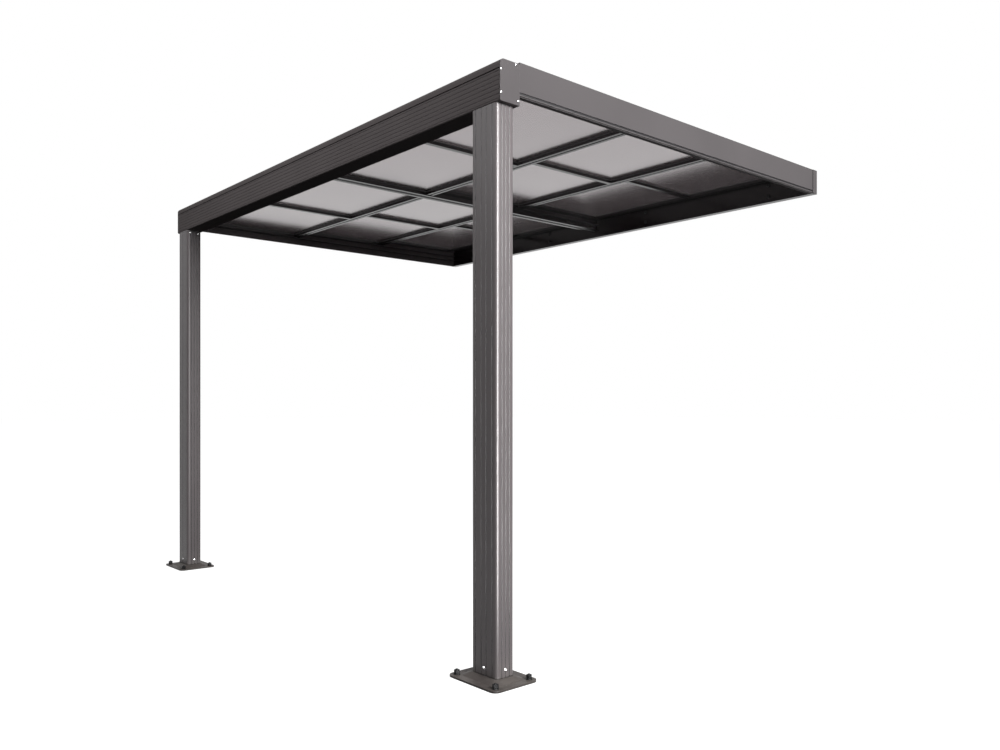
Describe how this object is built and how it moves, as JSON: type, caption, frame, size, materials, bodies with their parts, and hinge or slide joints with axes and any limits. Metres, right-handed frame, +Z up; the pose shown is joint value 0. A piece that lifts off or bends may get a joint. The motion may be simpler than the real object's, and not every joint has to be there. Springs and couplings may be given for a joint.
{
  "type": "lean-to pergola",
  "caption": "Wall-fixed pergola with two posts, a ribbed gutter beam and a stepped roof of smoked sheets.",
  "frame": {"origin": "centre of the wall ledger's back face, where the pergola is fixed to the wall", "axes": "+X along the wall to the pictured near post, +Y into the wall, +Z up"},
  "size_m": [3.346, 2.418, 2.375],
  "materials": {
    "frame_coat": "satin",
    "plate_steel": "satin",
    "roof_sheet": "gloss"
  },
  "bodies": {
    "root": {"base_plate_left": "plate_steel", "base_plate_right": "plate_steel", "post_left": "frame_coat", "post_right": "frame_coat", "front_beam": "frame_coat", "front_beam_cap_left": "frame_coat", "front_beam_cap_right": "frame_coat", "side_beam_left": "frame_coat", "side_beam_right": "frame_coat", "centre_rafter": "frame_coat", "wall_ledger": "frame_coat", "ledger_cap_left": "frame_coat", "ledger_cap_right": "frame_coat", "frame_front_left": "frame_coat", "frame_front_right": "frame_coat", "frame_middle_left": "frame_coat", "frame_middle_right": "frame_coat", "frame_rear_left": "frame_coat", "frame_rear_right": "frame_coat", "sheet_front_1": "roof_sheet", "sheet_front_2": "roof_sheet", "sheet_front_3": "roof_sheet", "sheet_front_4": "roof_sheet", "sheet_middle_1": "roof_sheet", "sheet_middle_2": "roof_sheet", "sheet_middle_3": "roof_sheet", "sheet_middle_4": "roof_sheet", "sheet_rear_1": "roof_sheet", "sheet_rear_2": "roof_sheet", "sheet_rear_3": "roof_sheet", "sheet_rear_4": "roof_sheet"}
  },
  "joints": []
}
